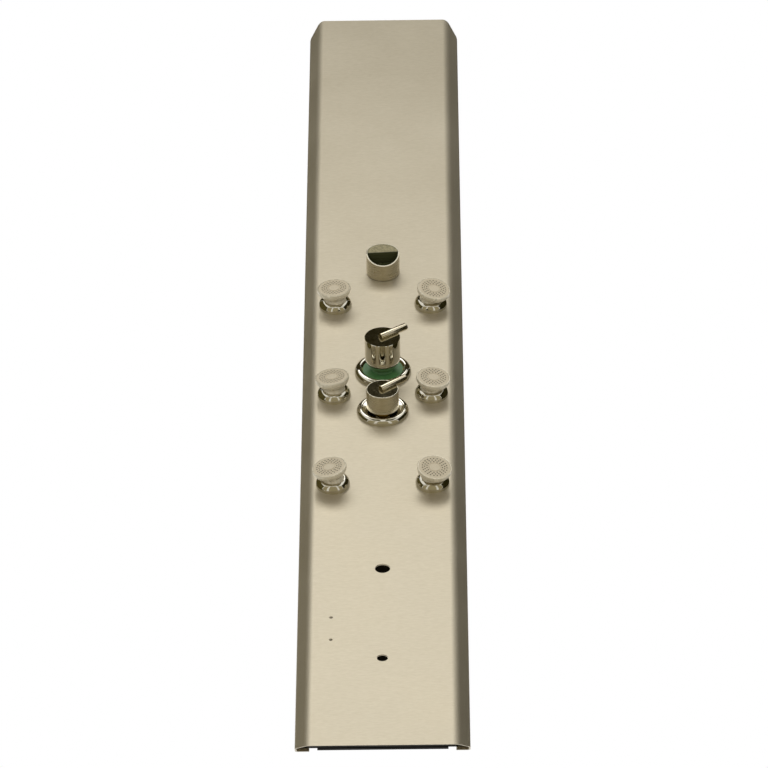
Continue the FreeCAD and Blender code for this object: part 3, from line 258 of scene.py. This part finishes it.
knobLow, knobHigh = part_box("top_knob_barrel")
# the dark olive inside the knob's hollow is painted shade
recessShade = {"wallMm": 1.4, "colour": "#3f4026"}
recessShade["axisZ"] = (knobLow.z + knobHigh.z) / 2
recessShade["radius"] = (knobHigh.x - knobLow.x) / 2 - recessShade["wallMm"] * mm
dress("top_knob_barrel", turnedNickel(recessShade))
dress("top_knob_plate", plateNickel)
print("CAD nodes dressed")


mergeDistance = 0.001 * mm
sharpAngle = math.radians(35)


def addPiece(builder, name, body, nodes, materials):
    # closes a piece's seams, makes it an object with its materials, puts it on its body and hides the CAD nodes it
    # stands for
    bmesh.ops.remove_doubles(builder, verts=builder.verts, dist=mergeDistance)
    bmesh.ops.recalc_face_normals(builder, faces=builder.faces)
    mesh = bpy.data.meshes.new(name)
    builder.to_mesh(mesh)
    builder.free()
    for polygon in mesh.polygons:
        polygon.use_smooth = True
    mesh.set_sharp_from_angle(angle=sharpAngle)
    for material in materials:
        mesh.materials.append(material)
    piece = bpy.data.objects.new(name, mesh)
    bpy.context.collection.objects.link(piece)
    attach(piece, body)
    if nodes:
        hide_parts(*nodes)


def turn(builder, profile, steps, place, materialIndex=0):
    # spins a profile of (radius, height) in millimetres about its own Z, then puts it in place
    verts = [builder.verts.new((radius * mm, 0, height * mm)) for radius, height in profile]
    edges = [builder.edges.new(pair) for pair in zip(verts, verts[1:])]
    first = len(builder.faces)
    bmesh.ops.spin(builder, geom=verts + edges, cent=(0, 0, 0), axis=(0, 0, 1),
                   angle=2 * math.pi, steps=steps, use_merge=True)
    builder.faces.ensure_lookup_table()
    made = builder.faces[first:]
    for face in made:
        face.material_index = materialIndex
    corners = list({vert for face in made for vert in face.verts})
    bmesh.ops.transform(builder, matrix=place, verts=corners)


# a jet's spray face: a turned plate with a shallow middle and rings of soft nozzles
sprayFace = {
    "radius": 19.5, "back": 21.4, "front": 24.1,  # heights run from the ball's centre
    "edge": 0.7, "edgeBulge": 0.3,
    "buttonRadius": 6.8, "grooveRadius": 7.6, "grooveDepth": 0.6,
    "rimRadius": 16.6, "rimStep": 0.2,
    "circles": ((9.5, 15), (12.2, 19), (14.9, 23)),  # radius and count of each ring of nozzles
    "nozzleRadius": 1.15, "nozzleHeight": 0.3, "nozzleShoulder": 0.7, "nozzleTip": 0.85,
    "nozzleRoot": 0.1,
    "boreRadius": 0.85, "boreDepth": 0.1,
    "steps": 96, "nozzleSteps": 12,
}


def sprayPlate():
    size = sprayFace
    top = size["front"]
    floor = top - size["rimStep"]
    bulge = size["edge"] * size["edgeBulge"]
    builder = bmesh.new()
    turn(builder, [
        (0, size["back"]),
        (size["radius"], size["back"]),
        (size["radius"], top - size["edge"]),
        (size["radius"] - bulge, top - bulge),
        (size["radius"] - size["edge"], top),
        (size["rimRadius"], top),
        (size["rimRadius"] - size["rimStep"], floor),
        (size["grooveRadius"], floor),
        (size["grooveRadius"], top - size["grooveDepth"]),
        (size["buttonRadius"], top - size["grooveDepth"]),
        (size["buttonRadius"], floor),
        (size["buttonRadius"] - size["rimStep"], top),
        (0, top),
    ], size["steps"], Matrix())
    nozzle = size["nozzleRadius"]
    nozzleTop = floor + size["nozzleHeight"]
    bore = size["boreRadius"]
    boreFloor = floor + size["boreDepth"]
    for number, (circle, count) in enumerate(size["circles"]):
        for step in range(count):
            angle = 2 * math.pi * (step + number / 2) / count  # each ring starts half a step on
            spot = Matrix.Translation((circle * mm * math.cos(angle),
                                       circle * mm * math.sin(angle), 0))
            turn(builder, [
                (nozzle, floor - size["nozzleRoot"]),
                (nozzle, floor + size["nozzleHeight"] * size["nozzleShoulder"]),
                (nozzle * size["nozzleTip"], nozzleTop),
                (bore, nozzleTop),
                (bore, boreFloor),
            ], size["nozzleSteps"], spot)
            # each bore's floor takes the painted shade in the second slot
            turn(builder, [(bore, boreFloor), (0, boreFloor)], size["nozzleSteps"], spot,
                 materialIndex=1)
    return builder


plate = sprayPlate()
for row in ("upper", "middle", "lower"):
    for side in ("left", "right"):
        jet = f"{row}_{side}"
        # a jet's ranges are even about straight ahead, so their middles say how it rests
        centre = joints[f"jet_{jet}_tilt"]["pos_m"]
        tilt = -math.radians(sum(joints[f"jet_{jet}_tilt"]["range_deg"]) / 2)
        pan = -math.radians(sum(joints[f"jet_{jet}_pan"]["range_deg"]) / 2)
        aim = Matrix.Rotation(math.pi / 2 + tilt, 4, "X") @ Matrix.Rotation(pan, 4, "Y")
        builder = plate.copy()
        bmesh.ops.transform(builder, matrix=Matrix.Translation(centre) @ aim, verts=builder.verts)
        addPiece(builder, f"{jet}_spray_face", f"jet_{jet}_head", [f"jet_{jet}_nozzle_face"],
                 [finishes["beige_plastic"], sprayBoreShade])
plate.free()
print("spray faces made")


# the two pin levers: satin rods with rounded ends, pointing right and up by their angles
pinLever = {"radius": 4.5, "length": 39.6, "round": 1.0, "roundSteps": 4, "steps": 64,
            "flatWithin": 0.01, "angles": {"mixer": 37, "diverter": 40}}
for name, angle in pinLever["angles"].items():
    low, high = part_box(f"{name}_lever")
    heading = Matrix.Rotation(math.pi / 2 - math.radians(angle), 4, "Y")
    builder = bmesh.new()
    bmesh.ops.create_cone(builder, cap_ends=True, segments=pinLever["steps"],
                          radius1=pinLever["radius"] * mm, radius2=pinLever["radius"] * mm,
                          depth=pinLever["length"] * mm)
    rims = [edge for edge in builder.edges
            if abs(edge.verts[0].co.z - edge.verts[1].co.z) < pinLever["flatWithin"] * mm]
    bmesh.ops.bevel(builder, geom=rims, offset=pinLever["round"] * mm,
                    segments=pinLever["roundSteps"], profile=0.5, affect="EDGES", material=-1)
    bmesh.ops.transform(builder, matrix=Matrix.Translation((low + high) / 2) @ heading,
                        verts=builder.verts)
    addPiece(builder, f"{name}_pin_lever", f"{name}_handle", [f"{name}_lever"],
             [leverNickel])
print("levers made")


# domed rivets through the lips and rails, in the places of the plain ones
rivet = {
    "headRadius": 3.5, "spacing": 40, "steps": 32,
    "profile": [  # radius and place along y: the tail's dome, the shank and the head's dome
        (0, -11.5), (1.6, -11.35), (2.6, -10.9), (3, -10.2), (3, -10), (2, -10), (2, -6),
        (3.5, -6), (3.5, -5.75), (2.9, -5.35), (1.8, -5.08), (0, -5)],
}
low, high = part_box("rail_rivets")
outerZ = high.z - rivet["headRadius"] * mm
builder = bmesh.new()
for x in (low.x + rivet["headRadius"] * mm, high.x - rivet["headRadius"] * mm):
    for z in (outerZ, outerZ - rivet["spacing"] * mm):
        for end in (1, -1):
            spot = Matrix.Translation((x, 0, end * z)) @ Matrix.Rotation(-math.pi / 2, 4, "X")
            turn(builder, rivet["profile"], rivet["steps"], spot)
addPiece(builder, "domed_rivets", "panel", ["rail_rivets"],
         [finishes["zinc_steel"]])

# half-inch pipe threads round the four nipples: a crest each turn over the plain solid
thread = {"pitch": 1.814, "rise": 0.35, "crest": (0.45, 0.55), "clear": 0.02, "tip": 1.0,
          "steps": 48}
builder = bmesh.new()
for mount in frame["record"]["mounts"]:
    if mount["kind"] == "pin":
        length = mount["dims"]["length_mm"]
        root = mount["dims"]["r_mm"] + thread["clear"]
        profile = [(root, -length / 2)]
        for number in range(int((length - thread["tip"]) / thread["pitch"])):
            foot = -length / 2 + number * thread["pitch"]
            for share in thread["crest"]:
                profile.append((root + thread["rise"], foot + thread["pitch"] * share))
            profile.append((root, foot + thread["pitch"]))
        heading = Vector((0, 0, 1)).rotation_difference(Vector(mount["axis"]))
        turn(builder, profile, thread["steps"],
             Matrix.Translation(mount["pos_m"]) @ heading.to_matrix().to_4x4())
addPiece(builder, "pipe_threads", "panel", [], [finishes["cast_brass"]])
print("rivets and threads made")


# the camera looks up from below and in front, almost on the centre line, through a long lens
camera = {"place": (0.065, -4.016, -5.875), "target": (0.0014, frontY, -0.0776),
          "lens": 266.5, "roll": 0.0014, "sight": 100}
lens = bpy.data.cameras.new("camera")
lens.lens = camera["lens"]
lens.clip_end = camera["sight"]
viewer = bpy.data.objects.new("camera", lens)
viewer.location = camera["place"]
heading = (Vector(camera["target"]) - Vector(camera["place"])).to_track_quat("-Z", "Y")
viewer.rotation_euler = (heading @ Quaternion((0, 0, 1), camera["roll"])).to_euler()
bpy.context.collection.objects.link(viewer)
bpy.context.scene.camera = viewer


def facingSquare(name, place, target, size):
    builder = bmesh.new()
    bmesh.ops.create_grid(builder, x_segments=1, y_segments=1, size=0.5)  # half of a metre's side
    bmesh.ops.scale(builder, vec=(size[0], size[1], 1), verts=builder.verts)
    turned = (Vector(target) - Vector(place)).to_track_quat("Z", "Y").to_matrix().to_4x4()
    bmesh.ops.transform(builder, matrix=Matrix.Translation(place) @ turned, verts=builder.verts)
    mesh = bpy.data.meshes.new(name)
    builder.to_mesh(mesh)
    builder.free()
    square = bpy.data.objects.new(name, mesh)
    bpy.context.collection.objects.link(square)
    return square


def stageColour(name, colour):  # matt paint on the front only: views from behind see past it
    material = bpy.data.materials.new(name)
    material.use_nodes = True
    tree = material.node_tree
    tree.nodes.clear()
    paint = addNode(tree, "ShaderNodeBsdfDiffuse", {"Color": linear(colour)})
    side = addNode(tree, "ShaderNodeNewGeometry")
    clear = addNode(tree, "ShaderNodeBsdfTransparent")
    oneSided = addNode(tree, "ShaderNodeMixShader",
                       links={0: side.outputs["Backfacing"], 1: paint.outputs[0],
                              2: clear.outputs[0]})
    addNode(tree, "ShaderNodeOutputMaterial", links={"Surface": oneSided.outputs[0]})
    return material


# a pale floor, and behind the openings a wall of painted shade for the inside of the panel; only the camera sees
# the wall, so that it takes no light from the valves and pipes behind the panel
studio = {"floorZ": -1.25, "floorSize": (14, 14), "floorColour": "#f4f3f0",
          "wallGap": 1 * mm, "wallCentreZ": 0.0017, "wallSize": (0.19, 1.4926),
          "wallShadeColour": "#1d1c19", "ambient": 0.8}
floor = facingSquare("floor", (0, 0, studio["floorZ"]), (0, 0, 0), studio["floorSize"])
floor.data.materials.append(stageColour("pale floor", studio["floorColour"]))
# the wall's near-black is painted shade for the inside of the panel
wall = facingSquare("wall", (0, studio["wallGap"], studio["wallCentreZ"]),
                    (0, -1, studio["wallCentreZ"]), studio["wallSize"])
wall.data.materials.append(stageColour("painted shade wall", studio["wallShadeColour"]))
wall.visible_diffuse = False
wall.visible_glossy = False
wall.visible_shadow = False

# dark cards all round, seen only in reflections on the metal
flags = {
    "ceilingFlag": {"place": (0, -0.3, 3.4), "target": (0, -0.3, 0), "size": (5.0, 4.6),
                    "colour": "#3b3620"},
    "leftFlag": {"place": (-2.6, -0.6, 1.1), "target": (0, -0.6, 1.1), "size": (3.2, 4.6),
                 "colour": "#5a5230"},
    "rightFlag": {"place": (2.6, -0.6, 1.1), "target": (0, -0.6, 1.1), "size": (3.8, 4.6),
                  "colour": "#2e2a14"},
    "floorFlagLeft": {"place": (-1.5, -1.0, -1.2), "target": (-1.5, -1.0, 0), "size": (1.4, 2.5),
                      "colour": "#a89e80"},
    "floorFlagMiddle": {"place": (0, -1.0, -1.2), "target": (0, -1.0, 0), "size": (1.0, 2.5),
                        "colour": "#a89e80"},
    "floorFlagRight": {"place": (1.5, -1.0, -1.2), "target": (1.5, -1.0, 0), "size": (1.4, 2.5),
                       "colour": "#a89e80"},
    "frontFlagLeft": {"place": (-1.2, -3.8, -0.3), "target": (-1.2, 0, -0.3), "size": (1.7, 2.6),
                      "colour": "#6b6446"},
    "frontFlagRight": {"place": (1.2, -3.8, -0.3), "target": (1.2, 0, -0.3), "size": (1.7, 2.6),
                       "colour": "#6b6446"},
    "wallFlagLeft": {"place": (-1.5, 0.35, 0), "target": (-1.5, -1, 0), "size": (1.8, 4.6),
                     "colour": "#5a5230"},
    "wallFlagRight": {"place": (1.35, 0.35, 0), "target": (1.35, -1, 0), "size": (1.9, 4.6),
                      "colour": "#2e2a14"},
}
for name, flag in flags.items():
    card = facingSquare(name, flag["place"], flag["target"], flag["size"])
    card.data.materials.append(stageColour(name, flag["colour"]))
    card.visible_camera = False
    card.visible_diffuse = False
    card.visible_shadow = False

lamps = {
    "keySoftbox": {"place": (-0.35, -2.7, 2.3), "target": (0, 0, 0), "size": (2.2, 1.4),
                   "watts": 22},
    "fillSoftbox": {"place": (0.3, -3.0, -2.2), "target": (0, 0, -0.2), "size": (1.0, 0.6),
                    "watts": 10},
}
for name, lamp in lamps.items():
    light = bpy.data.lights.new(name, "AREA")
    light.shape = "RECTANGLE"
    light.size, light.size_y = lamp["size"]
    light.energy = lamp["watts"]
    source = bpy.data.objects.new(name, light)
    source.location = lamp["place"]
    heading = (Vector(lamp["target"]) - Vector(lamp["place"])).to_track_quat("-Z", "Y")
    source.rotation_euler = heading.to_euler()
    bpy.context.collection.objects.link(source)

# the room is white where it is seen straight, mirrored or through glass, and softer as a light
world = bpy.data.worlds.new("pale room")
world.use_nodes = True
bpy.context.scene.world = world
sky = world.node_tree
sky.nodes.clear()
path = addNode(sky, "ShaderNodeLightPath")
seen = addNode(sky, "ShaderNodeMath", {"operation": "MAXIMUM"},
               {0: path.outputs["Is Camera Ray"], 1: path.outputs["Is Glossy Ray"]})
seen = addNode(sky, "ShaderNodeMath", {"operation": "MAXIMUM"},
               {0: seen.outputs[0], 1: path.outputs["Is Transmission Ray"]})
strength = addNode(sky, "ShaderNodeMapRange", {"To Min": studio["ambient"], "To Max": 1},
                   {"Value": seen.outputs[0]})
white = addNode(sky, "ShaderNodeBackground", {"Color": (1, 1, 1, 1)},
                {"Strength": strength.outputs[0]})
addNode(sky, "ShaderNodeOutputWorld", links={"Surface": white.outputs[0]})
bpy.context.scene.view_settings.view_transform = "Standard"
print("camera, lights and floor set")
